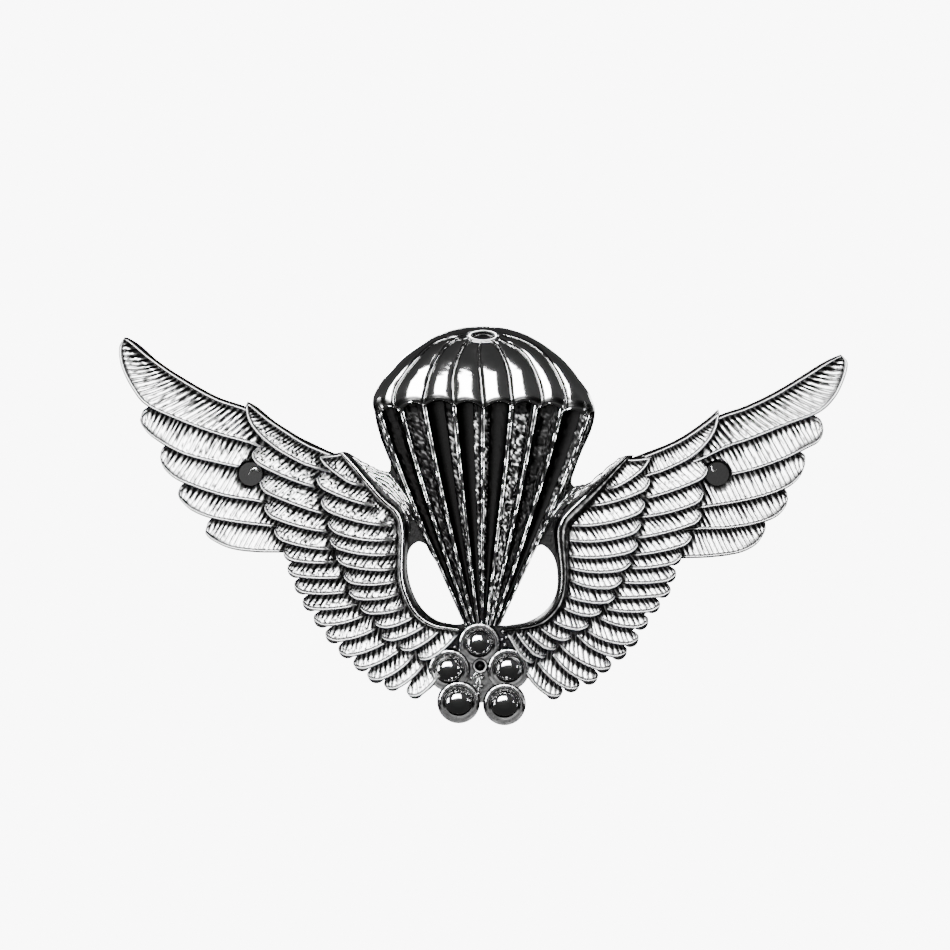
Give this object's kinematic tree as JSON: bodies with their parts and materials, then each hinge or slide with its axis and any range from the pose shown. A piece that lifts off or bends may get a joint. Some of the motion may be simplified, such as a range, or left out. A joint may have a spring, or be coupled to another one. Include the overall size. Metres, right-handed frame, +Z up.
{
  "type": "parachutist wings pin badge",
  "caption": "Winged parachute badge with layered feathers, domed canopy and domed blossom, worn on clutch-held pin posts.",
  "frame": {"origin": "midway between the two pin posts, on the flat back of the badge", "axes": "+X across the badge towards its right-hand wing as seen from the front, +Y out of the back towards the cloth, +Z up as worn"},
  "size_m": [0.0749, 0.0117, 0.0407],
  "materials": {
    "struck_back": "satin silver plate over struck brass",
    "feather_metal": "satin silver, recesses blackened",
    "rim_metal": "satin silver with a polished crest",
    "strand_metal": "satin silver, recesses blackened",
    "canopy_metal": "polished silver, darkened seams",
    "vent_metal": "polished silver",
    "fan_metal": "oxidised silver, stippled",
    "line_metal": "polished silver ridges",
    "blossom_metal": "satin silver, recesses blackened",
    "dome_metal": "mirror polished",
    "post_metal": "bright nickel plated steel",
    "clutch_metal": "nickel plated brass, satin",
    "tab_metal": "nickel plated brass, polished",
    "spring_wire": "bright spring steel"
  },
  "bodies": {
    "badge": {"left_wing_plate": "struck_back", "left_primaries": "feather_metal", "left_secondaries": "feather_metal", "left_coverts": "feather_metal", "left_rim": "rim_metal", "left_strands": "strand_metal", "left_post": "post_metal", "right_wing_plate": "struck_back", "right_primaries": "feather_metal", "right_secondaries": "feather_metal", "right_coverts": "feather_metal", "right_rim": "rim_metal", "right_strands": "strand_metal", "right_post": "post_metal", "centre_plate": "struck_back", "canopy": "canopy_metal", "vent_ring": "vent_metal", "fan_panel": "fan_metal", "suspension_lines": "line_metal", "blossom_plate": "blossom_metal", "petal_dome_1": "dome_metal", "petal_dome_2": "dome_metal", "petal_dome_3": "dome_metal", "petal_dome_4": "dome_metal", "petal_dome_5": "dome_metal", "pistil": "blossom_metal", "stamens": "blossom_metal"},
    "left_clutch": {"left_clutch_disc": "clutch_metal", "left_clutch_housing": "clutch_metal", "left_clutch_spring": "spring_wire"},
    "left_outer_grip": {"left_outer_tab": "tab_metal", "left_outer_jaw": "spring_wire"},
    "left_inner_grip": {"left_inner_tab": "tab_metal", "left_inner_jaw": "spring_wire"},
    "right_clutch": {"right_clutch_disc": "clutch_metal", "right_clutch_housing": "clutch_metal", "right_clutch_spring": "spring_wire"},
    "right_outer_grip": {"right_outer_tab": "tab_metal", "right_outer_jaw": "spring_wire"},
    "right_inner_grip": {"right_inner_tab": "tab_metal", "right_inner_jaw": "spring_wire"}
  },
  "joints": [
    {"name": "left_clutch_pull", "type": "slide", "parent": "badge", "child": "left_clutch", "axis": [0, 1, 0], "range_m": [0, 0.012]},
    {"name": "left_outer_squeeze", "type": "slide", "parent": "left_clutch", "child": "left_outer_grip", "axis": [1, 0, 0], "range_m": [0, 0.0005], "stiffness_N_per_m": 2000, "deforming": ["left_clutch_spring"]},
    {"name": "left_inner_squeeze", "type": "slide", "parent": "left_clutch", "child": "left_inner_grip", "axis": [-1, 0, 0], "range_m": [0, 0.0005], "stiffness_N_per_m": 2000, "deforming": ["left_clutch_spring"]},
    {"name": "right_clutch_pull", "type": "slide", "parent": "badge", "child": "right_clutch", "axis": [0, 1, 0], "range_m": [0, 0.012]},
    {"name": "right_outer_squeeze", "type": "slide", "parent": "right_clutch", "child": "right_outer_grip", "axis": [-1, 0, 0], "range_m": [0, 0.0005], "stiffness_N_per_m": 2000, "deforming": ["right_clutch_spring"]},
    {"name": "right_inner_squeeze", "type": "slide", "parent": "right_clutch", "child": "right_inner_grip", "axis": [1, 0, 0], "range_m": [0, 0.0005], "stiffness_N_per_m": 2000, "deforming": ["right_clutch_spring"]}
  ],
  "couplings": [
    {"joint": "left_inner_squeeze", "follows": "left_outer_squeeze", "ratio": 1},
    {"joint": "right_inner_squeeze", "follows": "right_outer_squeeze", "ratio": 1}
  ]
}
